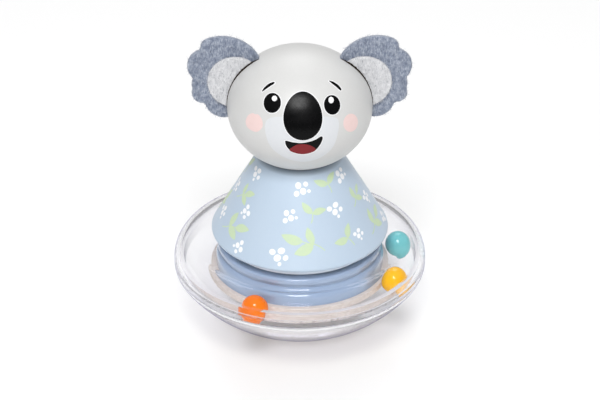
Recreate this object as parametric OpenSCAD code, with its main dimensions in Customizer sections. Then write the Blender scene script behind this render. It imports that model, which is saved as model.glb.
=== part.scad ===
// Roly poly koala: a turned wooden head and body on a clear rounded base.
// Three loose balls run round a track inside the base.
// Lengths are in millimetres. Z is up, the face looks along -Y,
// and the origin is the middle of the flat spot that the toy stands on.

/* [Clear base] */
// Greatest outside radius of the base, at its seam
base_radius = 65; // [60:0.5:72]
// Height of the middle of the rim above the floor
bowl_depth = 36.5; // [33:0.25:42]
// Radius of the flat spot under the bowl
foot_radius = 9; // [5:0.5:14]
// Thickness of the lower shell
bowl_wall = 4; // [3.5:0.1:4.5]
// Thickness of the upper shell
dome_wall = 3; // [2.4:0.1:3.4]
// Outside radius where the bowl turns up into the rim
rim_round = 7.5; // [6.5:0.25:9]
// Height of the seam above the middle of the rim
seam_rise = 1.5; // [1:0.25:3]
// Straight band of the upper shell above the seam
seam_band = 0.8; // [0.4:0.1:2]
// Outside radius of the upper shell's shoulder
dome_round = 11.5; // [10:0.25:13]
// Thickness of the tongue that locates the upper shell
tongue_wall = 2; // [1.5:0.1:2.5]
// Height of the tongue above the seam
tongue_height = 3; // [2:0.25:4]

/* [Balls] */
// Diameter of each loose ball
ball_diameter = 13.4; // [12:0.1:14]
// Distance of the balls' circle inside the base's greatest radius
track_inset = 12.4; // [12:0.1:14]
// Height of the balls' middles above the base disc
ball_rise = 1.8; // [0:0.1:3]
// Where the orange ball lies, in degrees from the front
orange_angle = -25.8; // [-60:0.1:0]
// Where the yellow ball lies, in degrees from the front
yellow_angle = 64.3; // [30:0.1:80]
// Where the teal ball lies, in degrees from the front
teal_angle = 101.7; // [98:0.1:160]

/* [Plinth and base disc] */
// How far the base disc stands out round the plinth
disc_lip = 2.7; // [1.5:0.1:4]
// Thickness of the base disc
disc_thickness = 4; // [3.5:0.25:5]
// Edge radius of the base disc
disc_round = 0.6; // [0.3:0.1:1]
// How far the bead round the plinth's top stands back
bead_inset = 0.8; // [0.4:0.1:1.5]
// How far the groove under the bead stands back
groove_inset = 2.2; // [1.5:0.1:3]
// Height of the bead
bead_height = 3.6; // [3:0.1:4.5]
// Edge radius of the bead
bead_round = 1.2; // [0.5:0.1:1.4]
// Height of the groove
groove_height = 1.4; // [1:0.1:2]
// Radius of the shoulder on the plinth's foot
plinth_shoulder_round = 3.5; // [2:0.25:5]
// Thickness of the plinth above the steel weight
plinth_roof = 3.2; // [2.5:0.1:5]

/* [Body] */
// How far the neck above the clear base stands back from the plinth
neck_inset = 4.2; // [3:0.1:5]
// Height of that neck
neck_height = 4.5; // [3:0.25:6]
// How far the skirt stands out round the neck
skirt_overhang = 6.3; // [4:0.1:8]
// Edge radius of the skirt
skirt_round = 1.5; // [0.5:0.1:3]
// Height of the body above the clear base
body_height = 49.6; // [42:0.2:56]
// Depth of the dish that the head sits in
dish_depth = 5; // [4:0.1:6]
// Width of the flat edge round the dish
dish_land = 0.3; // [0.2:0.1:1]

/* [Head] */
// Greatest radius of the head
head_radius = 36.4; // [32:0.1:40]
// Half of the head's height as a share of its radius
head_height_share = 0.835; // [0.8:0.005:0.87]

/* [Ears] */
// Height of each ear
ear_height = 45; // [38:0.5:52]
// Thickness of the felt
ear_thickness = 3; // [2:0.1:4]
// Thickness of the pale patch on the front of the ear
patch_thickness = 1.4; // [0.8:0.1:2]
// Distance of the ear's middle outside the head
ear_offset = 3.6; // [2:0.1:5]
// Height of the ear's middle above the head's middle
ear_rise = 13.6; // [10:0.1:16]
// Distance of the felt behind the head's axis
ear_set_back = 6; // [0:0.25:8]
// Depth of the ear slots, from the head's greatest radius
slot_depth = 10.4; // [9:0.2:14]

/* [Fixings] */
// Diameter of the dowel between body and head
dowel_diameter = 10; // [8:0.5:14]
// Length of the dowel in the body
dowel_in_body = 16; // [10:0.5:20]
// Length of the dowel in the head
dowel_in_head = 16; // [10:0.5:24]
// Diameter of the screws that clamp the base
screw_diameter = 4; // [3:0.1:4.4]
// Diameter of their heads
screw_head_diameter = 7.6; // [6.5:0.1:8]
// Height of their countersunk heads
screw_head_height = 2; // [1.5:0.1:2.4]
// Length of the screws in the body
screw_grip = 14; // [8:0.5:18]
// Length of the screws' points
screw_point = 3; // [2:0.25:5]
// Number of screws
screw_count = 3; // [3:1:6]
// Distance of the screws inside the plinth's edge
screw_inset = 8.2; // [7.5:0.1:9]
// Plastic between the screws and the hole in the upper shell
clamp_land = 6; // [5:0.1:8]
// Wood between the screws and the steel weight
weight_land = 5.4; // [4:0.1:8]

/* [Clearances] */
// Gap round each ball in its track
track_gap = 0.35; // [0.3:0.05:0.5]
// Gap between the tongue and the upper shell
seam_gap = 0.15; // [0.1:0.05:0.3]
// Gap for glue under the head and round the dowel
glue_gap = 0.1; // [0.05:0.05:0.2]
// Gap behind the felt in its slots
slot_gap = 0.2; // [0.1:0.05:0.4]
// Open slit in front of the felt in its slots
slit_gap = 1; // [0.5:0.1:1.5]
// Gap round the weight and the body's spigot
fit_gap = 0.2; // [0.1:0.05:0.4]
// Gap round the screws
screw_gap = 0.1; // [0.05:0.05:0.2]

/* [Hidden] */
$fn = 96;
// How far a cut runs past the face that it opens
overrun = 1;
// Depth and width of the cross recess in a screw head
recess_depth = 1.2;
recess_width = 0.9;
recess_length = 4.4;

// The bowl is part of a ball that runs through the flat spot and touches the rim's round
rim_centre_radius = base_radius - rim_round;
depth_square = bowl_depth * bowl_depth - rim_round * rim_round;
foot_square = foot_radius * foot_radius;
bowl_span = rim_centre_radius * rim_centre_radius + depth_square - foot_square;
bowl_root = sqrt(bowl_span * bowl_span + 4 * foot_square * depth_square);
bowl_centre = (bowl_depth * bowl_span + rim_round * bowl_root) / (2 * depth_square);
bowl_radius = sqrt(bowl_centre * bowl_centre + foot_square);

// Heights of the clear base, from the floor up
seam_height = bowl_depth + seam_rise;
shoulder_centre = seam_height + seam_band;
clamp_top = shoulder_centre + dome_round;
clamp_bottom = clamp_top - dome_wall;

// The tongue stands inside the upper shell's wall and runs down into the bowl's
tongue_climb = max(0, tongue_height - seam_band);
dome_inner_round = dome_round - dome_wall;
dome_centre_radius = base_radius - dome_round;
tongue_room = sqrt(dome_inner_round * dome_inner_round - tongue_climb * tongue_climb);
tongue_outer_radius = dome_centre_radius + tongue_room - seam_gap;
tongue_inner_radius = tongue_outer_radius - tongue_wall;
rim_inner_round = rim_round - bowl_wall;
tongue_inset = max(0, tongue_inner_radius - rim_centre_radius);
tongue_bottom = bowl_depth - sqrt(rim_inner_round * rim_inner_round - tongue_inset * tongue_inset);

// The balls rest between the base disc's edge and the bowl
ball_radius = ball_diameter / 2;
ball_orbit = base_radius - track_inset;
ball_reach = bowl_radius - bowl_wall - track_gap - ball_radius;
ball_height = bowl_centre - sqrt(ball_reach * ball_reach - ball_orbit * ball_orbit);
plinth_bottom = ball_height - ball_rise;
disc_bottom = plinth_bottom - disc_thickness;
edge_reach = ball_radius + track_gap + disc_round;
edge_climb = ball_rise + disc_round;
disc_radius = ball_orbit - sqrt(edge_reach * edge_reach - edge_climb * edge_climb) + disc_round;

// The plinth fills the space under the upper shell, and the rest follows its radius
plinth_radius = disc_radius - disc_lip;
bead_bottom = clamp_bottom - bead_height;
plinth_foot_top = bead_bottom - groove_height;
weight_height = clamp_bottom - plinth_roof - plinth_bottom;
screw_circle_radius = plinth_radius - screw_inset;
clamp_hole_radius = screw_circle_radius - clamp_land;
weight_radius = screw_circle_radius - weight_land;
neck_radius = plinth_radius - neck_inset;
skirt_radius = neck_radius + skirt_overhang;
skirt_bottom = clamp_top + neck_height;
body_top = clamp_top + body_height;

// The head sits in the dish on top of the body
head_half_height = head_radius * head_height_share;
head_bottom = body_top - dish_depth;
head_centre = head_bottom + head_half_height;
slot_floor_radius = head_radius - slot_depth;

// The body's side runs from the skirt's rounded edge up to the edge of the dish
dish_share = (head_half_height - dish_depth) / (head_half_height + glue_gap);
dish_radius = (head_radius + glue_gap) * sqrt(1 - dish_share * dish_share);
body_top_radius = dish_radius + dish_land;
skirt_edge = [skirt_radius - skirt_round, skirt_bottom + skirt_round];
side_run = [skirt_edge.x - body_top_radius, body_top - skirt_edge.y];
side_angle = atan2(side_run.x, side_run.y) + asin(skirt_round / norm(side_run));
side_start = skirt_edge + skirt_round * [cos(side_angle), sin(side_angle)];

// Discs that make up an ear and its patch: across, up and radius, as shares of the ear's height
ear_crest_share = [-0.042, 0.041, 0.451];
ear_lobe_shares = [
    [0.13, 0.364, 0.079],
    [0.156, 0.129, 0.201],
    [0.122, -0.098, 0.189],
    [0.2, -0.207, 0.113],
    [-0.046, -0.283, 0.217],
    [-0.067, -0.069, 0.311]
];
patch_lobe_share = [-0.176, -0.042, 0.309];
ear_back_edge = ear_set_back + ear_thickness / 2;
ear_front_edge = ear_set_back - ear_thickness / 2;
patch_front_edge = ear_front_edge - patch_thickness;

// Half of the outline of a disc with rounded edges
module band(radius, low, high, low_round, high_round) {
    translate([0, low + low_round])
        square([radius, high - low - low_round - high_round]);
    for (edge = [[low, low_round, 1], [high, high_round, -1]]) {
        inset = edge[1];
        if (inset > 0) {
            translate([0, min(edge[0], edge[0] + edge[2] * inset)])
                square([radius - inset, inset]);
            right_half()
                translate([radius - inset, edge[0] + edge[2] * inset])
                    circle(inset);
        }
    }
}

// Keeps what lies on the outer side of the axis
module right_half() {
    intersection() {
        children();
        translate([0, -head_centre])
            square([2 * base_radius, 3 * head_centre]);
    }
}

// Half of the outline of the bowl, drawn in by an inset, up to the seam
module bowl_outline(inset) {
    far = 2 * [rim_centre_radius, bowl_depth - bowl_centre];
    intersection() {
        translate([0, bowl_centre])
            circle(bowl_radius - inset);
        polygon([
            [0, bowl_depth],
            [rim_centre_radius, bowl_depth],
            [0, bowl_centre] + far,
            [0, bowl_centre + far.y]
        ]);
    }
    intersection() {
        translate([rim_centre_radius, bowl_depth])
            circle(rim_round - inset);
        square([base_radius, bowl_depth]);
    }
    translate([0, bowl_depth])
        square([base_radius - inset, seam_rise]);
}

// Half of the outline of the upper shell, drawn in by an inset
module dome_outline(inset) {
    translate([0, seam_height])
        square([base_radius - inset, seam_band]);
    intersection() {
        translate([dome_centre_radius, shoulder_centre])
            circle(dome_round - inset);
        translate([0, seam_height])
            square([base_radius, clamp_top]);
    }
    translate([0, seam_height])
        square([dome_centre_radius, clamp_top - inset - seam_height]);
}

// The head's oval, let out by an amount on all sides
module head_oval(grow) {
    translate([0, 0, head_centre])
        scale([1, 1, (head_half_height + grow) / (head_radius + grow)])
            sphere(r = head_radius + grow);
}

// Where a lobe of the right ear has its middle
function lobe_centre(share) = [head_radius + ear_offset + share.x * ear_height, ear_rise + share.y * ear_height];

// A full round lobe of the right ear
module lobe(share, grow) {
    translate(lobe_centre(share))
        circle(share.z * ear_height + grow);
}

// The ear's crest: the part of a large disc between the head and the ear's tip
module crest(grow) {
    centre = lobe_centre(ear_crest_share);
    tip = lobe_centre(ear_lobe_shares[0]) - centre;
    along = 2 * ear_height * tip / norm(tip);
    across = [-along.y, along.x];
    intersection() {
        lobe(ear_crest_share, grow);
        polygon([centre - along, centre + along, centre + along + across, centre - along + across]);
    }
}

// Cuts an outline back to the floor of the ear slot
module outside_floor(gap) {
    difference() {
        children();
        circle(slot_floor_radius + gap);
    }
}

// Outline of the right ear, let out by an amount, as far as the slot's floor
module ear_outline(grow, gap) {
    outside_floor(gap) {
        crest(grow);
        for (share = ear_lobe_shares)
            lobe(share, grow);
    }
}

// Stands an outline upright between two planes across the head
module upright(front, back) {
    translate([0, back, head_centre])
        rotate([90, 0, 0])
            linear_extrude(back - front)
                children();
}

// Copies its children round the circle of screws
module at_screws() {
    for (index = [0 : screw_count - 1])
        rotate([0, 0, 360 * index / screw_count])
            translate([0, screw_circle_radius, 0])
                children();
}

// Hole for a screw between two heights
module screw_hole(low, high) {
    translate([0, 0, low])
        cylinder(d = screw_diameter + 2 * screw_gap, h = high - low);
}

module lower_shell() {
    color([0.9, 0.9, 0.97, 0.3])
        rotate_extrude() {
            difference() {
                bowl_outline(0);
                difference() {
                    bowl_outline(bowl_wall);
                    square([base_radius, bowl_wall]);
                }
                translate([0, seam_height])
                    square([base_radius - bowl_wall, overrun]);
                translate([0, -bowl_radius])
                    square([base_radius, bowl_radius]);
            }
            translate([tongue_inner_radius, tongue_bottom])
                square([tongue_wall, seam_height + tongue_height - tongue_bottom]);
        }
}

module upper_shell() {
    color([0.9, 0.9, 0.97, 0.3])
        difference() {
            rotate_extrude()
                difference() {
                    dome_outline(0);
                    dome_outline(dome_wall);
                    square([clamp_hole_radius, clamp_top + overrun]);
                }
            at_screws()
                screw_hole(clamp_bottom - overrun, clamp_top + overrun);
        }
}

module base_disc() {
    color([0.78, 0.69, 0.61])
        difference() {
            rotate_extrude()
                band(disc_radius, disc_bottom, plinth_bottom, disc_round, disc_round);
            at_screws() {
                screw_hole(disc_bottom - overrun, plinth_bottom + overrun);
                translate([0, 0, disc_bottom])
                    cylinder(
                        d1 = screw_head_diameter + 2 * screw_gap,
                        d2 = screw_diameter + 2 * screw_gap,
                        h = screw_head_height
                    );
            }
        }
}

module plinth() {
    color([0.62, 0.71, 0.84])
        difference() {
            rotate_extrude() {
                band(plinth_radius, plinth_bottom, plinth_foot_top, 0, plinth_shoulder_round);
                band(plinth_radius - groove_inset, plinth_bottom, clamp_bottom - bead_round, 0, 0);
                band(plinth_radius - bead_inset, bead_bottom, clamp_bottom, bead_round, bead_round);
            }
            translate([0, 0, plinth_bottom - overrun])
                cylinder(r = weight_radius + fit_gap, h = weight_height + fit_gap + overrun);
            at_screws()
                screw_hole(plinth_bottom - overrun, clamp_bottom + overrun);
        }
}

module counterweight() {
    color([0.55, 0.56, 0.58])
        translate([0, 0, plinth_bottom])
            cylinder(r = weight_radius, h = weight_height);
}

module clamp_screws() {
    shank_top = clamp_top + screw_grip - screw_point;
    color([0.7, 0.7, 0.72])
        at_screws()
            difference() {
                union() {
                    translate([0, 0, disc_bottom])
                        cylinder(d1 = screw_head_diameter, d2 = screw_diameter, h = screw_head_height);
                    translate([0, 0, disc_bottom])
                        cylinder(d = screw_diameter, h = shank_top - disc_bottom);
                    translate([0, 0, shank_top])
                        cylinder(d1 = screw_diameter, d2 = 0, h = screw_point);
                }
                for (turn = [0, 90])
                    rotate([0, 0, turn])
                        translate([-recess_length / 2, -recess_width / 2, disc_bottom - overrun])
                            cube([recess_length, recess_width, recess_depth + overrun]);
            }
}

module body() {
    color([0.7, 0.78, 0.89])
        difference() {
            rotate_extrude() {
                band(clamp_hole_radius - fit_gap, clamp_bottom, clamp_top, 0, 0);
                band(neck_radius, clamp_top, skirt_bottom + skirt_round, 0, 0);
                translate(skirt_edge)
                    circle(skirt_round);
                polygon([
                    [0, skirt_bottom],
                    [skirt_edge.x, skirt_bottom],
                    skirt_edge,
                    side_start,
                    [body_top_radius, body_top],
                    [0, body_top]
                ]);
            }
            head_oval(glue_gap);
            dowel_hole();
            at_screws()
                screw_hole(clamp_top - overrun, clamp_top + screw_grip);
        }
}

module neck_dowel() {
    color([0.86, 0.75, 0.58])
        translate([0, 0, head_bottom - dowel_in_body])
            cylinder(d = dowel_diameter, h = dowel_in_body + dowel_in_head);
}

module dowel_hole() {
    translate([0, 0, head_bottom - dowel_in_body - glue_gap])
        cylinder(d = dowel_diameter + 2 * glue_gap, h = dowel_in_body + dowel_in_head + 2 * glue_gap);
}

module head() {
    color([0.8, 0.8, 0.79])
        difference() {
            head_oval(0);
            dowel_hole();
            for (side = [0, 1])
                mirror([side, 0, 0])
                    upright(patch_front_edge - slit_gap, ear_back_edge + slot_gap)
                        ear_outline(slot_gap, 0);
        }
}

module ear_felt() {
    color([0.55, 0.6, 0.68])
        upright(ear_front_edge, ear_back_edge)
            ear_outline(0, slot_gap);
}

module ear_patch() {
    color([0.83, 0.84, 0.86])
        upright(patch_front_edge, ear_front_edge)
            outside_floor(slot_gap)
                lobe(patch_lobe_share, 0);
}

module left_ear() {
    mirror([1, 0, 0])
        ear_felt();
}

module right_ear() {
    ear_felt();
}

module left_ear_patch() {
    mirror([1, 0, 0])
        ear_patch();
}

module right_ear_patch() {
    ear_patch();
}

// A ball in its track, at an angle from the front
module ball(angle, paint) {
    color(paint)
        rotate([0, 0, angle])
            translate([0, -ball_orbit, ball_height])
                sphere(d = ball_diameter);
}

module orange_ball() {
    ball(orange_angle, [0.98, 0.42, 0.02]);
}

module yellow_ball() {
    ball(yellow_angle, [0.99, 0.73, 0.05]);
}

module teal_ball() {
    ball(teal_angle, [0.3, 0.66, 0.66]);
}

lower_shell();
upper_shell();
base_disc();
plinth();
counterweight();
clamp_screws();
body();
neck_dowel();
head();
left_ear();
right_ear();
left_ear_patch();
right_ear_patch();
orange_ball();
yellow_ball();
teal_ball();
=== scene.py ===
# %% [markdown]
# # A koala roly poly toy
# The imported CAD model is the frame: wooden koala, clear weighted base and three loose balls.
# It comes in at its real size and is never moved. Everything below dresses it.

# %% Load the frame
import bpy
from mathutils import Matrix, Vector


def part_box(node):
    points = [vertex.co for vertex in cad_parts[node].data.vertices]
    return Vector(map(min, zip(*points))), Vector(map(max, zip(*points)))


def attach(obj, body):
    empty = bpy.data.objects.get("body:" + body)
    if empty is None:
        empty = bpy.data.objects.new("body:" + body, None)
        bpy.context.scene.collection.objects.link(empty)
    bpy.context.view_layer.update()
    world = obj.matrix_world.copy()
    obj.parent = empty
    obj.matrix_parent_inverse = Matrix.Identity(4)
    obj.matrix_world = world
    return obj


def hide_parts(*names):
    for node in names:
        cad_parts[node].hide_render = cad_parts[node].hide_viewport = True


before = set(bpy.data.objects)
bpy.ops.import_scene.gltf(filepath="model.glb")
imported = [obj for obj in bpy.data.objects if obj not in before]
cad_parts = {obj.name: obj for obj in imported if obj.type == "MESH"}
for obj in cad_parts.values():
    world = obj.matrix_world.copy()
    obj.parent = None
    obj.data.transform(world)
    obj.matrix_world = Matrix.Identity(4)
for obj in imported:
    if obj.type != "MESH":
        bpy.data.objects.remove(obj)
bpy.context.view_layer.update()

import math

import bpy
import numpy as np
from mathutils import Vector, noise
from mathutils.geometry import delaunay_2d_cdt

MM = 0.001
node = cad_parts

# %% [markdown]
# ## The view
# A long lens from a little above gives the toy's calm, nearly parallel lines. The camera could be
# aimed with a constraint, but a plain rotation is easier to read.

# %% Camera
aim = Vector((0.1, 0.0, 70.75)) * MM
distance = 1.2
rise = math.radians(30.5)
sidestep = math.radians(0.7)
towards_camera = Vector((
    -math.sin(sidestep) * math.cos(rise),
    -math.cos(sidestep) * math.cos(rise),
    math.sin(rise),
))
camera_data = bpy.data.cameras.new("camera")
camera_data.lens = 140.6
camera_data.sensor_width = 36.0
camera_data.sensor_fit = "HORIZONTAL"
camera = bpy.data.objects.new("camera", camera_data)
camera.location = aim + towards_camera * distance
camera.rotation_mode = "QUATERNION"
camera.rotation_quaternion = (-towards_camera).to_track_quat("-Z", "Y")
scene = bpy.context.scene
scene.collection.objects.link(camera)
scene.camera = camera
print("camera at", [round(v, 3) for v in camera.location])

# %% [markdown]
# ## Helpers for materials
# Each material is a small graph of nodes. Two helpers keep the graphs short: one places a node
# and fills its inputs, the other starts a node group, which is an effect that several finishes
# share. The rest make what nearly every graph needs: grain, ranges, blends and colours.

# %% Node helpers
def place(tree, kind, inputs=None, **settings):
    """Adds a node, sets its options, and fills or links its inputs."""
    new = tree.nodes.new("ShaderNode" + kind)
    for key, value in settings.items():
        setattr(new, key, value)
    for key, value in (inputs or {}).items():
        if isinstance(value, bpy.types.NodeSocket):
            tree.links.new(value, new.inputs[key])
        else:
            new.inputs[key].default_value = value
    return new


def start_group(name, inputs, outputs):
    """Starts a node group with named sockets and returns its tree and both ends."""
    tree = bpy.data.node_groups.new(name, "ShaderNodeTree")
    for label, value in inputs.items():
        kind = "NodeSocketColor" if isinstance(value, tuple) else "NodeSocketFloat"
        socket = tree.interface.new_socket(label, in_out="INPUT", socket_type=kind)
        socket.default_value = value
    for label in outputs:
        kind = "NodeSocketColor" if label == "Color" else "NodeSocketFloat"
        tree.interface.new_socket(label, in_out="OUTPUT", socket_type=kind)
    return tree, tree.nodes.new("NodeGroupInput").outputs, tree.nodes.new("NodeGroupOutput").inputs


def grain(tree, scale, detail=3.0, rough=0.5, vector=None, distortion=0.0):
    """Soft random grain on the object's own coordinates; scale counts grains per metre."""
    source = vector or place(tree, "TexCoord").outputs["Object"]
    return place(tree, "TexNoise", {
        "Vector": source, "Scale": scale, "Detail": detail,
        "Roughness": rough, "Distortion": distortion,
    }).outputs["Fac"]


def spread(tree, value, low, high, from_low=0.3, from_high=0.7):
    """Maps a value onto a range; the usual bounds suit grain, which gathers near a half."""
    return place(tree, "MapRange", {
        "Value": value, "From Min": from_low, "From Max": from_high, "To Min": low, "To Max": high,
    }).outputs["Result"]


def blend_colors(tree, share, first, second):
    """Mixes two colours by a share."""
    mix = place(tree, "Mix", {"Factor": share}, data_type="RGBA")
    for key, value in ((6, first), (7, second)):
        if isinstance(value, bpy.types.NodeSocket):
            tree.links.new(value, mix.inputs[key])
        else:
            mix.inputs[key].default_value = value
    return mix.outputs[2]


def color(red, green, blue):
    """A colour as it would be picked on a screen, from 0 to 255, made linear."""
    def linear(v):
        v /= 255.0
        return v / 12.92 if v <= 0.04045 else ((v + 0.055) / 1.055) ** 2.4
    return (linear(red), linear(green), linear(blue), 1.0)


# %% [markdown]
# ## Effects that several finishes share
# Sprayed paint is never one tone: it pools and thins, and its skin has a faint orange peel.
# A moulded or printed skin also has handling marks, which only show as a change of gloss.

# %% Group: sprayed coat
tree, given, out = start_group(
    "sprayed coat",
    {"Color": (0.5, 0.5, 0.5, 1.0), "Thin Color": (0.4, 0.4, 0.4, 1.0), "Cloud Scale": 45.0,
     "Peel Scale": 900.0, "Gloss": 0.25, "Dull": 0.4},
    ("Color", "Roughness", "Height"),
)
clouds = grain(tree, given["Cloud Scale"], 4.0)
specks = grain(tree, given["Peel Scale"], 2.0)
share = place(tree, "Math", {0: spread(tree, clouds, 0.0, 0.55), 1: spread(tree, specks, -0.12, 0.2)},
              operation="ADD", use_clamp=True).outputs[0]
tree.links.new(blend_colors(tree, share, given["Color"], given["Thin Color"]), out["Color"])
tree.links.new(spread(tree, grain(tree, 140.0, 3.0), given["Gloss"], given["Dull"]), out["Roughness"])
tree.links.new(specks, out["Height"])
sprayed_coat = tree
print("group:", tree.name)

# %% Group: moulded skin
tree, given, out = start_group(
    "moulded skin",
    {"Color": (0.5, 0.5, 0.5, 1.0), "Deep Color": (0.4, 0.4, 0.4, 1.0), "Mark Scale": 260.0,
     "Gloss": 0.05, "Dull": 0.14},
    ("Color", "Roughness", "Height"),
)
swirl = grain(tree, 70.0, 3.0, distortion=1.2)
marks = grain(tree, given["Mark Scale"], 5.0, 0.65)
swirled = spread(tree, swirl, 0.0, 0.6)
tree.links.new(blend_colors(tree, swirled, given["Color"], given["Deep Color"]), out["Color"])
tree.links.new(spread(tree, marks, given["Gloss"], given["Dull"], 0.4, 0.75), out["Roughness"])
tree.links.new(grain(tree, 420.0, 2.0), out["Height"])
moulded_skin = tree
print("group:", tree.name)

# %% [markdown]
# ## Felt and ink
# Felt is a mat of short wool fibres that lie every way, with darker and paler ones among them.
# Ink sits on the paint as a thin film: a little uneven, with pin specks where the film is thinner.

# %% Group: felt fibres
tree, given, out = start_group(
    "felt fibres",
    {"Color": (0.3, 0.34, 0.42, 1.0), "Pale Color": (0.5, 0.54, 0.6, 1.0),
     "Fleck Color": (0.1, 0.1, 0.12, 1.0), "Fleck Share": 0.2},
    ("Color", "Roughness", "Height"),
)
place_on = place(tree, "TexCoord").outputs["Object"]
fibre_lays = (
    (0.5, (1700.0, 1700.0, 520.0)),
    (-0.7, (1600.0, 1600.0, 480.0)),
    (1.5, (1800.0, 1800.0, 560.0)),
)
strands = []
for turn, stretch in fibre_lays:
    laid = place(tree, "Mapping", {"Vector": place_on, "Rotation": (0.0, turn, 0.0), "Scale": stretch})
    strands.append(grain(tree, 1.0, 3.0, 0.6, laid.outputs[0], 0.6))
woven = place(tree, "Math", {0: strands[0], 1: strands[1]}, operation="MAXIMUM").outputs[0]
matted = place(tree, "Math", {0: woven, 1: strands[2]}, operation="ADD").outputs[0]
tufts = grain(tree, 420.0, 4.0, 0.65)
lift = place(tree, "Math", {0: matted, 1: tufts}, operation="ADD").outputs[0]
pale = spread(tree, lift, 0.0, 1.0, 1.35, 1.95)
base = blend_colors(tree, pale, given["Color"], given["Pale Color"])
flecks = spread(tree, strands[1], 0.0, given["Fleck Share"], 0.56, 0.68)
tree.links.new(blend_colors(tree, flecks, base, given["Fleck Color"]), out["Color"])
tree.links.new(spread(tree, matted, 0.82, 0.98, 0.9, 1.4), out["Roughness"])
tree.links.new(lift, out["Height"])
felt_fibres = tree
print("group:", tree.name)

# %% Group: ink film
tree, given, out = start_group(
    "ink film",
    {"Color": (0.02, 0.02, 0.02, 1.0), "Thin Color": (0.06, 0.06, 0.06, 1.0),
     "Gloss": 0.3, "Dull": 0.45},
    ("Color", "Roughness", "Height"),
)
body = grain(tree, 520.0, 3.0, 0.6)
pins = grain(tree, 1500.0, 1.0)
thin = place(tree, "Math", {
    0: spread(tree, body, 0.0, 0.6), 1: spread(tree, pins, 0.0, 0.5, 0.55, 0.75),
}, operation="MAXIMUM", use_clamp=True).outputs[0]
tree.links.new(blend_colors(tree, thin, given["Color"], given["Thin Color"]), out["Color"])
tree.links.new(spread(tree, body, given["Gloss"], given["Dull"]), out["Roughness"])
tree.links.new(body, out["Height"])
ink_film = tree
print("group:", tree.name)

# %% [markdown]
# ## From effect to finish
# A finish is one Principled shader whose colour, gloss and bump come from a group. Values that
# are the same all over, such as the coat of lacquer, are set on the shader itself.

# %% Finish maker
def finish(name, group, values, bump, **shader):
    """A material around a Principled shader, fed by a group; bump is strength and depth in mm."""
    made = bpy.data.materials.new(name)
    made.use_nodes = True
    tree = made.node_tree
    principled = tree.nodes["Principled BSDF"]
    effect = place(tree, "Group", node_tree=group)
    for label, value in values.items():
        effect.inputs[label].default_value = value
    raised = place(tree, "Bump", {
        "Height": effect.outputs["Height"], "Strength": bump[0], "Distance": bump[1] * MM,
    })
    for source, label in (
        (effect.outputs["Color"], "Base Color"),
        (effect.outputs["Roughness"], "Roughness"),
        (raised.outputs["Normal"], "Normal"),
    ):
        tree.links.new(source, principled.inputs[label])
    for label, value in shader.items():
        principled.inputs[label.replace("_", " ")].default_value = value
    print("finish:", name)
    return made


def wear(name, material):
    """Gives a CAD node its finish."""
    node[name].material_slots[0].material = material


# %% [markdown]
# ## Painted wood
# Head and body are turned wood under sprayed paint: the body satin blue, the head light grey.
# The foot that is clamped in the base is the same blue with a glossier coat.

# %% Paints
grey_paint = finish("grey_paint", sprayed_coat, {
    "Color": color(204, 204, 203), "Thin Color": color(199, 199, 198), "Gloss": 0.38, "Dull": 0.46,
}, (0.04, 0.05), Coat_Weight=0.12, Coat_Roughness=0.3)
blue_paint = finish("blue_paint", sprayed_coat, {
    "Color": color(183, 199, 215), "Thin Color": color(178, 195, 213), "Gloss": 0.36, "Dull": 0.46,
}, (0.05, 0.05), Coat_Weight=0.1, Coat_Roughness=0.3)
blue_gloss_paint = finish("blue_gloss_paint", sprayed_coat, {
    "Color": color(155, 174, 200), "Thin Color": color(147, 167, 195), "Gloss": 0.12, "Dull": 0.2,
}, (0.02, 0.05), Coat_Weight=0.7, Coat_Roughness=0.04)
wear("head", grey_paint)
wear("body", blue_paint)
wear("plinth", blue_gloss_paint)

# %% [markdown]
# The body's colour is not the same from foot to top. Low down, where the body stands in the clear
# cover, a paler colour is painted light, brightening the band that the skirt shades. Round the top,
# where the head sits, a dark band is painted shade in the crease under the head. Rings of mesh could
# show both, but they have soft edges, so two masks by height fade them into the paint.

# %% Body paint
collar_top, skirt_low = 54.9 * MM, 55.3 * MM
# Painted shade: the heights between which the crease under the head is darkened.
crease_shade_low, crease_shade_top = 97.0 * MM, 99.9 * MM
# Painted light: the pale colour brightens the band the skirt shades. Painted shade: the dark colour
# darkens the crease under the head.
collar_painted_light, painted_crease_shade = color(228, 237, 247), color(64, 75, 88)
tree = blue_paint.node_tree
paint = tree.nodes["Principled BSDF"].inputs["Base Color"]
height = place(tree, "SeparateXYZ", {0: place(tree, "TexCoord").outputs["Object"]}).outputs["Z"]
# Painted light: below the skirt the paint turns pale where the skirt's shade falls.
collar_light_share = spread(tree, height, 1.0, 0.0, collar_top, skirt_low)
# Painted shade: round the top the paint darkens into the crease under the head.
crease_shade_share = spread(tree, height, 0.0, 0.8, crease_shade_low, crease_shade_top)
collar_lit = blend_colors(tree, collar_light_share, paint.links[0].from_socket, collar_painted_light)
tree.links.new(blend_colors(tree, crease_shade_share, collar_lit, painted_crease_shade), paint)
print("body painted light below mm:", round(skirt_low / MM, 1))

# %% [markdown]
# ## Loose balls
# The balls are moulded plastic with a deep gloss, so the studio lights draw small sharp spots on
# them. A faint swirl in the colour and a few dull marks keep them from looking like glass beads.

# %% Ball plastics
for ball, bright, deep in (
    ("orange_ball", color(250, 128, 0), color(243, 108, 0)),
    ("yellow_ball", color(252, 190, 0), color(247, 174, 0)),
    ("teal_ball", color(112, 198, 201), color(102, 190, 194)),
):
    wear(ball, finish(ball.replace("_ball", "_plastic"), moulded_skin, {
        "Color": bright, "Deep Color": deep, "Gloss": 0.01, "Dull": 0.04,
    }, (0.005, 0.05), Specular_IOR_Level=0.5))

# %% [markdown]
# ## Clear base
# The two shells are clear moulded plastic with real walls, so a refracting shader bends what is
# behind them. Left alone it would be too dark. Cycles lets no direct light through it, so shadow
# rays meet a see-through shader, darker where a wall is met edge on, because there real plastic
# throws light aside. Bounce light, and rays that run on inside a wall, pass straight through.
# A thin lilac tint marks the edges, as the plastic's own colour shows only there.

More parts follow.
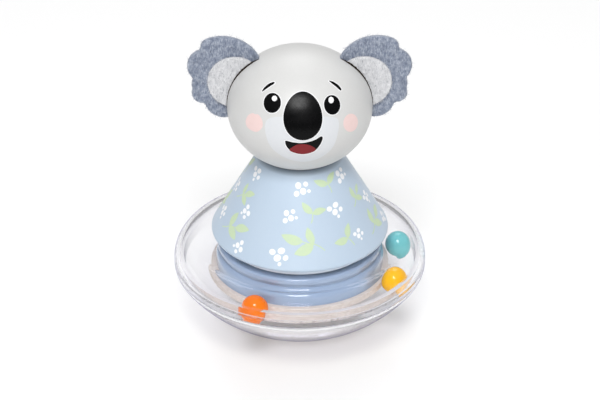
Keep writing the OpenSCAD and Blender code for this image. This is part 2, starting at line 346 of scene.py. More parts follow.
# %% Clear plastic
clear_plastic = finish("clear_plastic", moulded_skin, {
    "Color": (0.985, 0.985, 0.995, 1.0), "Deep Color": (0.975, 0.975, 0.99, 1.0),
    "Gloss": 0.0, "Dull": 0.006,
}, (0.0005, 0.02), Transmission_Weight=1.0, IOR=1.49, Specular_Tint=(0.07, 0.07, 0.08, 1.0))
face_on_tint, edge_on_tint = (0.985, 0.985, 0.99, 1.0), (0.7, 0.7, 0.74, 1.0)
edge_sharpness = 5.0
most_bends = 2.5
tree = clear_plastic.node_tree
path = place(tree, "LightPath").outputs


def see_through(tint):
    """A shader that lets light straight through, with a tint."""
    return place(tree, "BsdfTransparent", {"Color": tint}).outputs[0]


def swap(share, first, second):
    """Changes from one shader to another by a share."""
    return place(tree, "MixShader", {0: share, 1: first, 2: second}).outputs[0]


def work_out(operation, first, second):
    """One value worked out from two others."""
    return place(tree, "Math", {0: first, 1: second}, operation=operation).outputs[0]


edge_on = place(tree, "LayerWeight", {"Blend": 0.35}).outputs["Facing"]
shaded = see_through(blend_colors(tree, edge_on, face_on_tint, edge_on_tint))
edge = work_out("POWER", place(tree, "LayerWeight").outputs["Facing"], edge_sharpness)
outlined = swap(edge, tree.nodes["Principled BSDF"].outputs[0], see_through((0.56, 0.56, 0.7, 1.0)))
trapped = work_out("GREATER_THAN", path["Ray Depth"], most_bends)
straight = work_out("MAXIMUM", trapped, path["Is Diffuse Ray"])
freed = swap(straight, outlined, see_through((0.99, 0.99, 0.995, 1.0)))
whole = swap(path["Is Shadow Ray"], freed, shaded)
tree.links.new(whole, tree.nodes["Material Output"].inputs["Surface"])
for shell in ("lower_shell", "upper_shell"):
    wear(shell, clear_plastic)

# %% [markdown]
# The shells come from model.glb as small flat faces, with points doubled along the seams. Under
# paint that would not show, but a clear wall bends light at each of them. A new piece could take
# their place, but the CAD's shape is right. So a small geometry group welds the doubled points and
# shades the faces as one skin, with the true corners left sharp.

# %% One skin
weld_distance = 0.12 * MM
corner_angle = math.radians(35.0)
one_skin = bpy.data.node_groups.new("one skin", "GeometryNodeTree")
one_skin.is_modifier = True
for way in ("INPUT", "OUTPUT"):
    one_skin.interface.new_socket("Geometry", in_out=way, socket_type="NodeSocketGeometry")
weld = one_skin.nodes.new("GeometryNodeMergeByDistance")
weld.inputs["Distance"].default_value = weld_distance
corner = one_skin.nodes.new("FunctionNodeCompare")
corner.data_type = "FLOAT"
corner.operation = "GREATER_THAN"
corner.inputs[1].default_value = corner_angle
shade = one_skin.nodes.new("GeometryNodeSetMeshNormal")
shade.mode = "SHARPNESS"
shade.inputs["Remove Custom"].default_value = True
for source, socket in (
    (one_skin.nodes.new("NodeGroupInput").outputs[0], weld.inputs["Geometry"]),
    (one_skin.nodes.new("GeometryNodeInputMeshEdgeAngle").outputs["Unsigned Angle"], corner.inputs[0]),
    (weld.outputs[0], shade.inputs[0]),
    (corner.outputs[0], shade.inputs["Edge Sharpness"]),
    (shade.outputs[0], one_skin.nodes.new("NodeGroupOutput").inputs[0]),
):
    one_skin.links.new(source, socket)
for shell in ("lower_shell", "upper_shell"):
    node[shell].modifiers.new("one skin", "NODES").node_group = one_skin
print("one skin on both shells, welded within mm:", round(weld_distance / MM, 2))

# %% [markdown]
# ## Bare wood and steel
# The disc under the foot is unpainted wood, so its grain shows: long streaks across the disc.
# The weight and the screws are steel, with the fine rings that a lathe leaves.

# %% Bare wood
def streaked(name, pale, dark, stretch, rough):
    """Bare wood or steel: streaks made by grain that is stretched along one way."""
    made = bpy.data.materials.new(name)
    made.use_nodes = True
    tree = made.node_tree
    place_on = place(tree, "TexCoord").outputs["Object"]
    along = place(tree, "Mapping", {"Vector": place_on, "Scale": stretch}).outputs[0]
    streaks = grain(tree, 1.0, 5.0, 0.6, along, 0.8)
    fine = grain(tree, 4.0, 3.0, 0.6, along)
    both = place(tree, "Math", {0: streaks, 1: fine}, operation="ADD").outputs[0]
    shade = spread(tree, both, 0.0, 1.0, 0.75, 1.25)
    raised = place(tree, "Bump", {"Height": both, "Strength": 0.25, "Distance": 0.1 * MM})
    principled = tree.nodes["Principled BSDF"]
    tree.links.new(blend_colors(tree, shade, pale, dark), principled.inputs["Base Color"])
    tree.links.new(spread(tree, fine, rough[0], rough[1]), principled.inputs["Roughness"])
    tree.links.new(raised.outputs[0], principled.inputs["Normal"])
    print("finish:", name)
    return made


bare_wood = streaked(
    "bare_wood", color(222, 213, 207), color(200, 188, 180), (60.0, 420.0, 420.0), (0.5, 0.7))
steel = streaked(
    "steel", color(190, 192, 196), color(164, 166, 170), (300.0, 300.0, 2400.0), (0.22, 0.36))
steel.node_tree.nodes["Principled BSDF"].inputs["Metallic"].default_value = 1.0
for name in ("base_disc", "neck_dowel"):
    wear(name, bare_wood)
for name in ("counterweight", "clamp_screws"):
    wear(name, steel)

# %% [markdown]
# ## Pieces from points
# Every new piece is a mesh built from points in millimetres. Prints also get the normals of the
# surface that they lie on, so that the light runs over the ink as it does over the paint.

# %% Mesh helper
def make_piece(name, points, faces, material, normals=None):
    """Makes a smooth mesh object from points in millimetres, which rides on the toy."""
    mesh = bpy.data.meshes.new(name)
    mesh.from_pydata([tuple(v * MM for v in p) for p in points], [], [tuple(f) for f in faces])
    mesh.materials.append(material)
    mesh.polygons.foreach_set("use_smooth", [True] * len(mesh.polygons))
    if normals is not None:
        mesh.normals_split_custom_set_from_vertices([tuple(n) for n in normals])
    mesh.update()
    piece = bpy.data.objects.new(name, mesh)
    scene.collection.objects.link(piece)
    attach(piece, "toy")
    return piece


# %% [markdown]
# ## Felt ears
# Each ear is cut from thick felt and pushed into a slot in the head. The cut is an outline of
# overlapping rounds, so its edge is found by walking out from the middle until the last round ends.
# A flat extrusion would look like card, so the edge is rounded and the faces are left lumpy.

# %% Ear outline
head_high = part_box("head")[1]
head_radius = head_high.x / MM
head_flatness = 0.835
head_half_height = head_flatness * head_radius
head_centre = head_high.z / MM - head_half_height
ear_height = 45.0
ear_middle = np.array((head_radius + 3.6, 13.6))
slot_depth, slot_clearance = 10.4, 0.2
slot_floor = head_radius - slot_depth + slot_clearance
ear_rounds = ((0.13, 0.364, 0.079), (0.156, 0.129, 0.201), (0.122, -0.098, 0.189),
              (0.2, -0.207, 0.113), (-0.046, -0.283, 0.217), (-0.067, -0.069, 0.311))
ear_crest = (-0.042, 0.041, 0.451)
patch_round = (-0.176, -0.042, 0.309)


def in_round(point, share):
    """Whether a point lies in one of the rounds, which are given as shares of the ear's height."""
    centre = ear_middle + np.array(share[:2]) * ear_height
    return np.hypot(*(point - centre)) <= share[2] * ear_height


def in_ear(point):
    """Whether a point lies in the ear's cut; the crest counts only on the inner side of the tip."""
    if np.hypot(*point) < slot_floor:
        return False
    crest = ear_middle + np.array(ear_crest[:2]) * ear_height
    along = ear_middle + np.array(ear_rounds[0][:2]) * ear_height - crest
    left_of_tip = along[0] * (point[1] - crest[1]) - along[1] * (point[0] - crest[0]) >= 0
    return (left_of_tip and in_round(point, ear_crest)) or any(in_round(point, s) for s in ear_rounds)


def in_patch(point):
    """Whether a point lies in the pale patch."""
    return np.hypot(*point) >= slot_floor and in_round(point, patch_round)


def walk_outline(inside, start, count, soften, step=0.5):
    """Outline points round a start, found by halving, with corners softened."""
    angles = np.arange(count) * 2 * math.pi / count
    reach = np.zeros(count)
    for i, a in enumerate(angles):
        way = np.array((math.cos(a), math.sin(a)))
        low = 0.0
        while inside(start + way * (low + step)):
            low += step
        high = low + step
        for _ in range(10):
            half = (low + high) / 2
            low, high = (half, high) if inside(start + way * half) else (low, half)
        reach[i] = low
    for _ in range(soften):
        reach = (np.roll(reach, 1) + 2 * reach + np.roll(reach, -1)) / 4
    return start + reach[:, None] * np.stack((np.cos(angles), np.sin(angles)), 1)


def outline_area(outline):
    """The area inside a closed outline, in square millimetres."""
    x, z = outline.T
    return abs(np.dot(x, np.roll(z, -1)) - np.dot(z, np.roll(x, -1))) / 2


ear_cut = walk_outline(in_ear, ear_middle + np.array((-1.0, 0.5)), 240, 6)
patch_start = ear_middle + np.array(patch_round[:2]) * ear_height + np.array((3.0, 0.0))
patch_cut = walk_outline(in_patch, patch_start, 160, 3)
print("ear area mm2:", round(outline_area(ear_cut)), "patch area mm2:", round(outline_area(patch_cut)))

# %% Felt pad
felt_finish = finish("blue_grey_felt", felt_fibres, {
    "Color": color(106, 116, 136), "Pale Color": color(184, 191, 204),
    "Fleck Color": color(62, 70, 90), "Fleck Share": 0.75,
}, (0.6, 0.35), Sheen_Weight=0.35, Sheen_Roughness=0.5)
pale_felt_finish = finish("pale_felt", felt_fibres, {
    "Color": color(196, 197, 200), "Pale Color": color(228, 228, 230),
    "Fleck Color": color(120, 124, 132), "Fleck Share": 0.75,
}, (0.6, 0.35), Sheen_Weight=0.3, Sheen_Roughness=0.5)
bow_strength = 0.0022
lump_height = 0.11
face_shares = (0.02, 0.15, 0.3, 0.42, 0.54, 0.64, 0.73, 0.81, 0.88)


def felt_bow(x, z):
    """Felt that stands free of its slot leans back a little towards its edge."""
    free = max(0.0, math.hypot(x, z) - head_radius)
    return bow_strength * free * free


def felt_pad(name, outline, front, back, edge, side, material):
    """A thick felt cut with rounded edges and lumpy faces; side is -1 for the left ear."""
    middle = outline.mean(0)
    half = (back - front) / 2
    count = len(outline)
    points, faces = [], []

    def ring(depth, share=None, inset=0.0):
        """One turn of points: at a share of the way out, or at an inset from the outline."""
        lane = []
        for p in outline:
            way = p - middle
            reach = np.hypot(*way)
            x, z = middle + way * (share if share else 1 - inset / reach)
            lump = noise.noise(Vector((x * 0.35, depth * 3.0, z * 0.35)))
            lump += 0.6 * noise.noise(Vector((x, depth, z)))
            lump *= (1 if depth < 0 else 0.5) * (1.0 if share else min(1.0, inset / edge))
            lane.append(len(points))
            y = front + half + depth + felt_bow(x, z) + lump_height * lump
            points.append((side * x, y, z + head_centre))
        return lane

    lanes = [ring(-half, share) for share in face_shares]
    for a in np.linspace(-math.pi / 2, math.pi / 2, 9):
        depth = (half - edge) * np.sign(round(math.sin(a), 6)) + edge * math.sin(a)
        lanes.append(ring(depth, inset=edge * (1 - math.cos(a))))
    lanes += [ring(half, share) for share in reversed(face_shares)]
    for first, second in zip(lanes, lanes[1:]):
        for i in range(count):
            j = (i + 1) % count
            faces.append((first[i], first[j], second[j], second[i]))
    faces.append(tuple(reversed(lanes[0])))
    faces.append(tuple(lanes[-1]))
    if side < 0:
        faces = [tuple(reversed(f)) for f in faces]
    return make_piece(name, points, faces, material)


# %% Felt fuzz
fuzz_finish = finish("blue_grey_fuzz", felt_fibres, {
    "Color": color(96, 106, 128), "Pale Color": color(190, 197, 210),
    "Fleck Color": color(66, 74, 96), "Fleck Share": 0.6,
}, (0.2, 0.1), Sheen_Weight=0.3, Sheen_Roughness=0.5)
pale_fuzz_finish = finish("pale_fuzz", felt_fibres, {
    "Color": color(188, 189, 193), "Pale Color": color(238, 238, 239),
    "Fleck Color": color(110, 114, 122), "Fleck Share": 0.7,
}, (0.2, 0.1), Sheen_Weight=0.3, Sheen_Roughness=0.5)
fibre_length = (0.6, 1.8)
fibre_half_width = (0.03, 0.055)
edge_fibre_cut = 0.45
front_fibre_share = 0.65
fibre_stations = ((0.0, 1.0), (0.35, 1.0), (0.7, 0.8), (1.0, 0.25))


def felt_fuzz(name, outline, inside, front, back, side, material, count, seed):
    """Loose wool fibres: short bent ribbons that lie on both faces and stand out round the edge."""
    rng = np.random.default_rng(seed)
    low, high = outline.min(0), outline.max(0)
    starts, outward, ways = [], [], []
    while len(starts) < count:
        spot = low + rng.random(2) * (high - low)
        if not inside(spot) or np.hypot(*spot) < head_radius - 3.0:
            continue
        face = -1.0 if rng.random() < front_fibre_share else 1.0
        turn = rng.random() * 2 * math.pi
        starts.append((spot[0], (front if face < 0 else back) + felt_bow(*spot) - 0.06 * face, spot[1]))
        outward.append((0.0, face, 0.0))
        ways.append((math.cos(turn), face * rng.uniform(0.02, 0.4), math.sin(turn)))
    middle = outline.mean(0)
    for _ in range(count // 4):
        spot = outline[rng.integers(len(outline))]
        if np.hypot(*spot) < head_radius - 1.0:
            continue
        out = (spot - middle) / np.hypot(*(spot - middle))
        turn = rng.normal(0.0, 0.9)
        c, s = math.cos(turn), math.sin(turn)
        root = spot - 0.15 * out
        starts.append((root[0], rng.uniform(front + 0.2, back - 0.2) + felt_bow(*spot), root[1]))
        outward.append((out[0], 0.0, out[1]))
        ways.append((c * out[0] - s * out[1], rng.normal(0.0, 0.5), s * out[0] + c * out[1]))
    starts, outward, ways = np.array(starts), np.array(outward), np.array(ways)
    ways /= np.linalg.norm(ways, axis=1)[:, None]
    across = np.cross(ways, outward)
    across /= np.linalg.norm(across, axis=1)[:, None]
    length = rng.uniform(*fibre_length, len(starts))[:, None]
    length[count:] *= edge_fibre_cut
    curl = rng.normal(0.0, 0.5, len(starts))[:, None]
    thick = rng.uniform(*fibre_half_width, len(starts))[:, None]
    lanes = []
    for t, width in fibre_stations:
        spine = starts + length * (t * ways + curl * t * t * across - 0.12 * t * t * outward)
        lanes += [spine - across * thick * width, spine + across * thick * width]
    points = np.stack(lanes, 1).reshape(-1, 3)
    points[:, 0] *= side
    points[:, 2] += head_centre
    corners = range(0, 8 * len(starts), 8)
    quads = [(k + i, k + i + 1, k + i + 3, k + i + 2) for k in corners for i in (0, 2, 4)]
    print("fuzz:", name, "fibres:", len(starts))
    return make_piece(name, points, quads, material)


# %% Ears in place
ear_front, ear_back = (corner.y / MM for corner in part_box("right_ear"))
patch_front, patch_back = (corner.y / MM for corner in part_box("right_ear_patch"))
ear_edge, patch_edge = 0.9, 0.5
ear_fibres, patch_fibres = 5200, 2600
ear_seed, patch_seed = 11, 21
for side, word in ((-1, "left"), (1, "right")):
    fuzz = felt_fuzz(f"{word}_ear_fuzz", ear_cut, in_ear, ear_front, ear_back, side,
                     fuzz_finish, ear_fibres, ear_seed + side)
    patch_fuzz = felt_fuzz(f"{word}_patch_fuzz", patch_cut, in_patch, patch_front, patch_back, side,
                           pale_fuzz_finish, patch_fibres, patch_seed + side)
    ear = felt_pad(f"{word}_felt_ear", ear_cut, ear_front, ear_back, ear_edge, side,
                   felt_finish)
    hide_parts(f"{word}_ear")
    size = np.ptp(ear_cut, axis=0) * MM
    patch = felt_pad(f"{word}_felt_patch", patch_cut, patch_front, patch_back, patch_edge, side,
                     pale_felt_finish)
    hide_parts(f"{word}_ear_patch")
    size = np.ptp(patch_cut, axis=0) * MM
    print(word, "ear faces:", len(ear.data.polygons), "patch faces:", len(patch.data.polygons))

# %% [markdown]
# ## Saw slots
# Where the felt goes into the head, the gap in front of it lies in shade. That shade is painted: a dark
# brown bead, brown as the bare wood in the slot, lies in front of the felt. It is a ragged line, so it
# is built as a thin bead along the head's outline whose girth wanders.

# %% Slot shade beads
# Painted shade: a dark brown bead in front of the felt stands in for the shade in the slot's gap.
slot_shade_finish = finish("slot_shade_brown", sprayed_coat, {
    "Color": color(46, 36, 31), "Thin Color": color(24, 19, 17), "Cloud Scale": 400.0,
    "Gloss": 0.6, "Dull": 0.8,
}, (0.3, 0.1), Specular_IOR_Level=0.1)
slot_front = patch_front - 1.0
lip_depth = slot_front + 0.55
lip_girth, lip_sunk = 0.5, 0.12
backward = np.array((0.0, 1.0, 0.0))
head_axes = np.array((head_radius, head_radius, head_half_height))


def slot_shade_bead(name, side):
    """A thin ragged dark bead of painted shade along the front of one ear's slot, stouter towards the
    top.
    """
    across = math.sqrt(head_radius ** 2 - lip_depth ** 2)
    climb = head_half_height * across / head_radius
    turns = [a for a in np.radians(np.arange(-30.0, 80.0, 0.6))
             if in_ear(np.array((across * math.cos(a), climb * math.sin(a))) * 0.985)]
    points, faces = [], []
    for a in turns:
        spine = np.array((across * math.cos(a), lip_depth, climb * math.sin(a)))
        out = spine / head_axes ** 2
        out /= np.linalg.norm(out)
        girth = lip_girth + 0.2 * noise.noise(Vector((a * 26.0, side, 0.0)))
        girth += 0.1 * noise.noise(Vector((a * 90.0, side, 4.0)))
        girth *= 1.0 + 0.6 * min(1.0, max(0.0, math.degrees(a) - 20.0) / 15.0)
        girth *= min(1.0, 0.2 + 6.0 * min(a - turns[0], turns[-1] - a))
        for k in range(8):
            b = k * math.pi / 4
            spot = spine + girth * (out * math.cos(b) + backward * math.sin(b)) - lip_sunk * out
            points.append((side * spot[0], spot[1], spot[2] + head_centre))
    for i in range(len(turns) - 1):
        for k in range(8):
            j = (k + 1) % 8
            faces.append((8 * i + k, 8 * i + j, 8 * i + 8 + j, 8 * i + 8 + k))
    faces += [tuple(range(7, -1, -1)), tuple(8 * (len(turns) - 1) + k for k in range(8))]
    if side > 0:
        faces = [tuple(reversed(f)) for f in faces]
    print("slot shade bead:", name, "stations:", len(turns))
    return make_piece(name, points, faces, slot_shade_finish)


for side, word in ((-1, "left"), (1, "right")):
    slot_shade_bead(f"{word}_slot_shade_bead", side)

# %% [markdown]
# ## Face print
# The face is printed on the head with a soft pad that presses along one tilted line. So each
# shape is drawn flat, filled with triangles, and then pushed along that line onto the head.
# A mask in the paint would blur when the part is exported; a thin film of mesh stays sharp.

# %% Print helpers
press_tilt = math.radians(30.0)
press = np.array((0.0, -math.cos(press_tilt), math.sin(press_tilt)))
press_up = np.array((0.0, math.sin(press_tilt), math.cos(press_tilt)))
edge_sunk = 0.08


def on_head(u, v):
    """Where a point of the flat drawing lands on the head, and the surface normal there."""
    start = np.array((u, 0.0, 0.0)) + v * press_up
    o, d = start / head_axes, press / head_axes
    a, b, c = d @ d, o @ d, o @ o - 1
    point = start + press * (-b + math.sqrt(b * b - a * c)) / a
    normal = point / head_axes ** 2
    return point + (0.0, 0.0, head_centre), normal / np.linalg.norm(normal)


def film(outline, onto, lift, spacing):
    """Triangles that fill a flat outline, wrapped onto a surface with a sunk edge."""
    outline = np.asarray(outline, float)
    count = len(outline)
    low, high = outline.min(0), outline.max(0)
    inner = [
        (x, y)
        for x in np.arange(low[0] + spacing / 2, high[0], spacing)
        for y in np.arange(low[1] + spacing / 2, high[1], spacing)
    ]
    flat = [Vector(p) for p in outline] + [Vector(p) for p in inner]
    edges = [(i, (i + 1) % count) for i in range(count)]
    flat, _, faces, kept, _, _ = delaunay_2d_cdt(flat, edges, [list(range(count))], 1, 1e-6)
    points, normals = [], []
    for p in flat:
        point, normal = onto(p.x, p.y)
        points.append(point + normal * lift)
        normals.append(normal)
    top = len(points)
    where = {old: new for new, olds in enumerate(kept) for old in olds}
    rim = [where[i] for i in range(count)]
    for i in rim:
        points.append(points[i] - normals[i] * (lift + edge_sunk))
        normals.append(normals[i])
    faces = [tuple(f) for f in faces]
    for i in range(count):
        j = (i + 1) % count
        faces.append((rim[j], rim[i], top + i, top + j))
    return points, faces, normals


def print_piece(name, shapes, lift, spacing, material):
    """One colour of a print: flat outlines, each with its way onto the wood, in one thin piece."""
    points, faces, normals = [], [], []
    for outline, onto in shapes:
        p, f, n = film(outline, onto, lift, spacing)
        faces += [tuple(i + len(points) for i in face) for face in f]
        points += p
        normals += n
    make_piece(name, points, faces, material, normals)
    print("print:", name, "outlines:", len(shapes), "faces:", len(faces))


# %% Drawing helpers
def oval(centre, half, turn=0.0, egg=0.0, count=48):
    """An oval; egg above 0 makes it wider below its middle."""
    a = np.arange(count) * 2 * math.pi / count
    x = half[0] * np.cos(a) * (1 - egg * np.sin(a))
    y = half[1] * np.sin(a)
    c, s = math.cos(math.radians(turn)), math.sin(math.radians(turn))
    return np.stack((centre[0] + c * x - s * y, centre[1] + s * x + c * y), 1)


def let_out(outline, amount):
    """The same outline, grown all round, for the white ink under a dark print."""
    ahead = np.roll(outline, -1, 0) - np.roll(outline, 1, 0)
    ahead /= np.linalg.norm(ahead, axis=1)[:, None]
    return outline + np.stack((ahead[:, 1], -ahead[:, 0]), 1) * amount


def smooth_loop(corners, count=12):
    """A smooth closed line through a few corners, as a bent spline would run."""
    corners = np.asarray(corners, float)
    a, b, c, d = (np.roll(corners, k, 0) for k in (1, 0, -1, -2))
    t = np.arange(count)[None, :, None] / count
    a, b, c, d = (p[:, None, :] for p in (a, b, c, d))
    line = 2 * b + (c - a) * t + (2 * a - 5 * b + 4 * c - d) * t ** 2 + (3 * b - a - 3 * c + d) * t ** 3
    return 0.5 * line.reshape(-1, 2)


def brow(low, high, thick):
    """A tapered stroke from its thin outer end to its rounded inner end."""
    low, high = np.array(low), np.array(high)
    along = high - low
    side = np.array((-along[1], along[0])) / np.hypot(*along)
    stops = ((0.0, 0.22), (0.25, 0.8), (0.6, 1.0), (0.9, 0.8), (1.0, 0.3))
    upper = [low + along * t + side * (thick * w / 2 + 0.45 * math.sin(math.pi * t)) for t, w in stops]
    lower = [low + along * t - side * (thick * w / 2 - 0.45 * math.sin(math.pi * t)) for t, w in stops]
    return smooth_loop(lower + upper[::-1], 6)


# %% Inks
def ink(name, bright, thin, gloss=0.34, dull=0.44, shine=0.5):
    """A printing ink with its thinner tone, its range of gloss and its shine."""
    return finish(name, ink_film, {
        "Color": bright, "Thin Color": thin, "Gloss": gloss, "Dull": dull,
    }, (0.05, 0.03), Specular_IOR_Level=shine)


black_ink = ink("black_ink", color(3, 3, 4), color(8, 8, 9), 0.22, 0.3, 0.11)
white_ink = ink("white_ink", color(230, 230, 231), color(224, 224, 226))
muzzle_ink = ink("muzzle_ink", color(209, 211, 214), color(204, 207, 211))
pink_ink = ink("pink_ink", color(228, 203, 200), color(224, 197, 193))
red_ink = ink("red_ink", color(125, 37, 42), color(116, 35, 39), shine=0.15)

# %% Face
eyes = [oval((-13.7, 0.6), (4.2, 4.9), -4.0), oval((15.4, -0.5), (4.0, 4.8), 4.0)]
sparks = [oval((-12.6, 2.75), (1.3, 1.35), count=24), oval((14.9, 1.85), (1.3, 1.6), count=24)]
brows = [brow((-18.6, 6.4), (-12.6, 10.7), 1.45), brow((14.2, 11.3), (20.0, 6.8), 1.45)]
nose = oval((1.1, -5.8), (9.45, 11.85), 0.0, 0.1, 96)
mouth = smooth_loop((
    (-7.6, -18.3), (-6.6, -21.0), (-3.6, -23.3), (1.3, -24.3), (6.2, -23.1), (9.2, -20.2),
    (10.7, -16.9), (9.9, -15.8), (6.6, -17.6), (1.2, -18.9), (-3.6, -18.6), (-6.9, -17.8),
), 8)
tongue = smooth_loop((
    (-5.5, -22.2), (-2.6, -23.75), (1.3, -24.3), (5.3, -23.5),
    (7.4, -22.0), (4.6, -20.1), (1.1, -19.5), (-2.4, -20.0),
), 8)
muzzle = smooth_loop((
    (-17.3, -9.8), (-16.6, -16.0), (-14.4, -20.8), (-10.6, -24.2), (-5.3, -26.9),
    (1.1, -28.0), (7.6, -26.9), (13.0, -23.9), (16.3, -20.0), (18.0, -15.0),
    (18.7, -9.2), (16.6, -6.6), (8.0, -6.2), (-6.0, -6.2), (-14.4, -6.6),
), 12)
cheeks = [
    smooth_loop(((-26.8, -8.3), (-25.6, -11.4), (-21.7, -13.3), (-18.8, -11.4), (-18.6, -8.0),
                 (-20.4, -5.1), (-22.2, -4.7), (-23.6, -4.2), (-25.8, -5.4)), 8),
    oval((24.6, -9.1), (3.65, 4.45), -12.0),
]
dark = eyes + brows + [nose, mouth]
under = [let_out(shape, 0.4) for shape in dark]
for name, outlines, lift, spacing, material in (
    ("muzzle_print", [muzzle], 0.04, 1.0, muzzle_ink),
    ("cheek_prints", cheeks, 0.04, 1.0, pink_ink),
    ("face_underprint", under, 0.06, 1.0, white_ink),
    ("face_print", dark, 0.08, 1.0, black_ink),
    ("tongue_print", [tongue], 0.1, 1.0, red_ink),
    ("eye_sparks", sparks, 0.1, 0.8, white_ink),
):
    shapes = [(outline, on_head) for outline in outlines]
    print_piece(name, shapes, lift, spacing, material)

# %% [markdown]
# ## Flower print
# A transfer with small dotted blossoms and leaf sprigs runs round the body, and repeats after half
# a turn. Each motif is drawn flat and then bent round the cone, so it keeps its size on the wood.

# %% Cone wrap
cone_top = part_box("body")[1].z / MM
cone_top_radius = 20.5
cone_foot = np.array((45.14, 57.05))
cone_lean = math.atan2(cone_foot[0] - cone_top_radius, cone_top - cone_foot[1])


def round_cone(angle, height):
    """A wrap for motifs centred at an angle from the front and a height up the cone's side."""
    def wrap(x, y):
        up = height + y
        radius = cone_foot[0] - up * math.sin(cone_lean)
        a = math.radians(angle) + x / radius
        lean = math.cos(cone_lean)
        point = np.array((radius * math.sin(a), -radius * math.cos(a), cone_foot[1] + up * lean))
        normal = np.array((math.sin(a) * lean, -math.cos(a) * lean, math.sin(cone_lean)))
        return point, normal
    return wrap


# %% Motifs
petals = (
    (-2.9, 2.6, 1.85, 1.6), (1.6, 3.8, 2.1, 1.75), (0.0, 0.0, 2.1, 1.85),
    (4.2, 0.5, 1.6, 1.4), (1.5, -2.9, 1.15, 1.0),
)
dot_spread = np.array((0.92, 0.95))
leaf_half_width, leaf_bend = 0.235, 0.05
stalk_half_width, stalk_bend = 0.26, 0.06


def blossom(size, turn):
    """Five dots: two above, one in the middle, one beside it and a small one below."""
    c, s = math.cos(math.radians(turn)), math.sin(math.radians(turn))
    dots = []
    for k, (x, y, a, b) in enumerate(petals):
        spot = (size * (c * x - s * y), size * (s * x + c * y))
        dots.append(oval(spot, dot_spread * size * (a, b), turn + 20 * k, count=20))
    return dots


def leaf(way, reach, start):
    """A pointed leaf from its foot to its tip, a little bent."""
    length = reach - start
    t = np.linspace(0.0, 1.0, 12)
    width = leaf_half_width * length * np.sin(math.pi * t ** 0.85) ** 0.8
    bend = leaf_bend * length * np.sin(math.pi * t)
    along = start + length * t
    x = np.concatenate((along, along[-2:0:-1]))
    y = np.concatenate((bend - width, (bend + width)[-2:0:-1]))
    c, s = math.cos(math.radians(way)), math.sin(math.radians(way))
    return np.stack((c * x - s * y, s * x + c * y), 1)


def stem(way, reach, start=-0.3):
    """A thin stalk, drawn as a narrow strip with a blunt end."""
    t = np.linspace(start, reach, 8)
    bend = stalk_bend * reach * np.sin(math.pi * np.clip(t / reach, 0, 1))
    x = np.concatenate((t, t[::-1]))
    y = np.concatenate((bend - stalk_half_width, (bend + stalk_half_width)[::-1]))
    c, s = math.cos(math.radians(way)), math.sin(math.radians(way))
    return np.stack((c * x - s * y, s * x + c * y), 1)


# %% Flower print
blossoms = (
    (-65, 40.5, 0.82, -10), (-91, 26, 0.8, -20), (3, 39, 0.9, 62), (58, 40.5, 0.84, 62),
    (-55, 22, 0.74, -68), (-84, 10.5, 0.8, 10), (-8.5, 25.5, 0.82, 70), (32.5, 26, 0.88, 0),
    (79, 21, 0.8, 0), (89, 3.5, 0.8, 20), (47, 10, 0.68, 0), (-48, 5, 0.76, -90), (-16, 5, 1.0, 0),
)
sprigs = (
    (-68, 28, ((90, 6.4, 0), (25, 9.5, 2), (-33, 7, 0)), (-140, 6)),
    (-64, 10.5, ((78, 9, 0), (16, 14.5, 5), (-25, 9.4, 0)), (-150, 6.5)),
    (33.5, 40.5, ((154, 7.7, 0), (39, 7.4, 0)), (-79, 4.8)),
    (11, 27.5, ((128, 7.7, 0), (9, 7.4, 0)), (-104, 4.8)),
    (62, 27, ((95, 6.8, 0), (30, 8.7, 3), (-25, 6.5, 0)), (-142, 5)),
    (69, 9.5, ((85, 8.8, 0), (16, 13.7, 5), (-29, 8.9, 0)), (-153, 6.8)),
    (9.5, 12.5, ((165, 16.5, 5.5), (106, 8.8, 0), (-154, 11.3, 0)), (-36, 6.8)),
    (37, 11.5, ((66, 7.6, 0), (-176, 8.2, 0)), (-60, 5.3)),
    (-94, 39, ((59, 7, 0), (150, 6.5, 0)), (-80, 4.8)),
    (-97, 14, ((75, 8, 0), (150, 7, 0)), (-60, 5)),
)
edge_angle = 75
blossom_ink = ink("blossom_ink", color(240, 241, 243), color(228, 231, 236), 0.4, 0.5)
leaf_ink = ink("leaf_ink", color(195, 213, 173), color(187, 207, 184), 0.4, 0.5)
print_lift, print_spacing = 0.05, 0.9
white_dots, green_leaves = [], []
for half_turn in (0, 180):
    for angle, height, size, turn in blossoms:
        if half_turn and abs(angle) > edge_angle:
            continue
        onto = round_cone(angle + half_turn, height)
        white_dots += [(dot, onto) for dot in blossom(size, turn)]
    for angle, height, leaves, stalk in sprigs:
        if half_turn and abs(angle) > edge_angle:
            continue
        onto = round_cone(angle + half_turn, height)
        outlines = [leaf(*one) for one in leaves]
        outlines += [stem(way, start + 0.4) for way, _, start in leaves if start]
        green_leaves += [(outline, onto) for outline in outlines + [stem(*stalk)]]
for name, shapes, material in (
    ("blossom_print", white_dots, blossom_ink),
    ("leaf_print", green_leaves, leaf_ink),
):
    print_piece(name, shapes, print_lift, print_spacing, material)

# %% [markdown]
# ## Studio
# The toy stands on a plain white floor. A large soft light above the front gives the shading and
# the bright spots on the balls, a wide one behind whitens floor and rim, and a weak one low in
# front reaches under the skirt. A pale sky fills the shadows. Clear walls need many bounces.

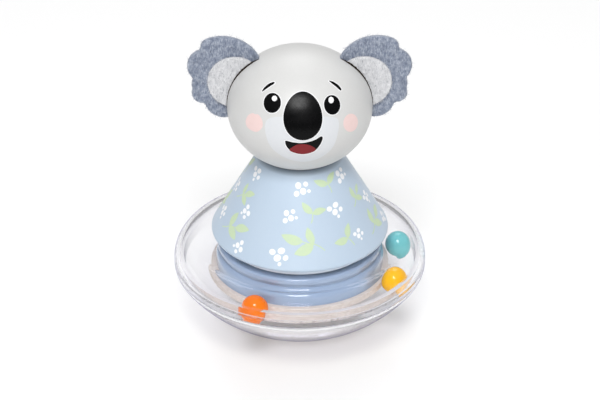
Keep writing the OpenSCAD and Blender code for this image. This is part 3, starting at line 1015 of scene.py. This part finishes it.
# %% Floor
floor_finish = finish("floor_white", sprayed_coat, {
    "Color": (0.89, 0.89, 0.89, 1.0), "Thin Color": (0.88, 0.88, 0.88, 1.0), "Cloud Scale": 3.0,
    "Gloss": 0.6, "Dull": 0.7,
}, (0.01, 0.05))
floor_mesh = bpy.data.meshes.new("floor")
reach = 6.0
corners = [(-reach, -reach, 0), (reach, -reach, 0), (reach, reach, 0), (-reach, reach, 0)]
floor_mesh.from_pydata(corners, [], [(0, 1, 2, 3)])
floor_mesh.materials.append(floor_finish)
floor = bpy.data.objects.new("floor", floor_mesh)
scene.collection.objects.link(floor)
print("floor reaches m:", reach)


# %% Lights
def soft_light(name, size, power, azimuth, elevation, away, target=(0.0, 0.0, 0.08)):
    """A square soft light that looks at the toy."""
    data = bpy.data.lights.new(name, "AREA")
    data.shape = "SQUARE"
    data.size = size
    data.energy = power
    light = bpy.data.objects.new(name, data)
    a, e = math.radians(azimuth), math.radians(elevation)
    back = Vector((math.sin(a) * math.cos(e), -math.cos(a) * math.cos(e), math.sin(e)))
    light.location = Vector(target) + back * away
    light.rotation_mode = "QUATERNION"
    light.rotation_quaternion = (-back).to_track_quat("-Z", "Y")
    scene.collection.objects.link(light)
    print("light:", name, power, "W")


soft_light("key softbox", size=0.9, power=52.0, azimuth=-4.0, elevation=54.0, away=2.6)
soft_light("back softbox", size=1.4, power=18.0, azimuth=180.0, elevation=58.0, away=2.8,
           target=(0.0, 0.5, 0.08))
soft_light("low front softbox", size=0.5, power=0.6, azimuth=4.0, elevation=27.0, away=1.6)
world = bpy.data.worlds.new("pale studio")
world.use_nodes = True
sky = world.node_tree
facing_up = place(sky, "SeparateXYZ", {0: place(sky, "TexCoord").outputs["Generated"]}).outputs["Z"]
sky.nodes["Background"].inputs["Color"].default_value = (1.0, 1.0, 1.0, 1.0)
horizon_strength, zenith_strength = 0.32, 0.6
strength = spread(sky, facing_up, horizon_strength, zenith_strength, from_low=0.0, from_high=1.0)
sky.links.new(strength, sky.nodes["Background"].inputs["Strength"])
scene.world = world
scene.view_settings.view_transform = "Standard"
most_bounces = 32
scene.cycles.max_bounces = most_bounces
scene.cycles.transmission_bounces = most_bounces
scene.cycles.transparent_max_bounces = most_bounces
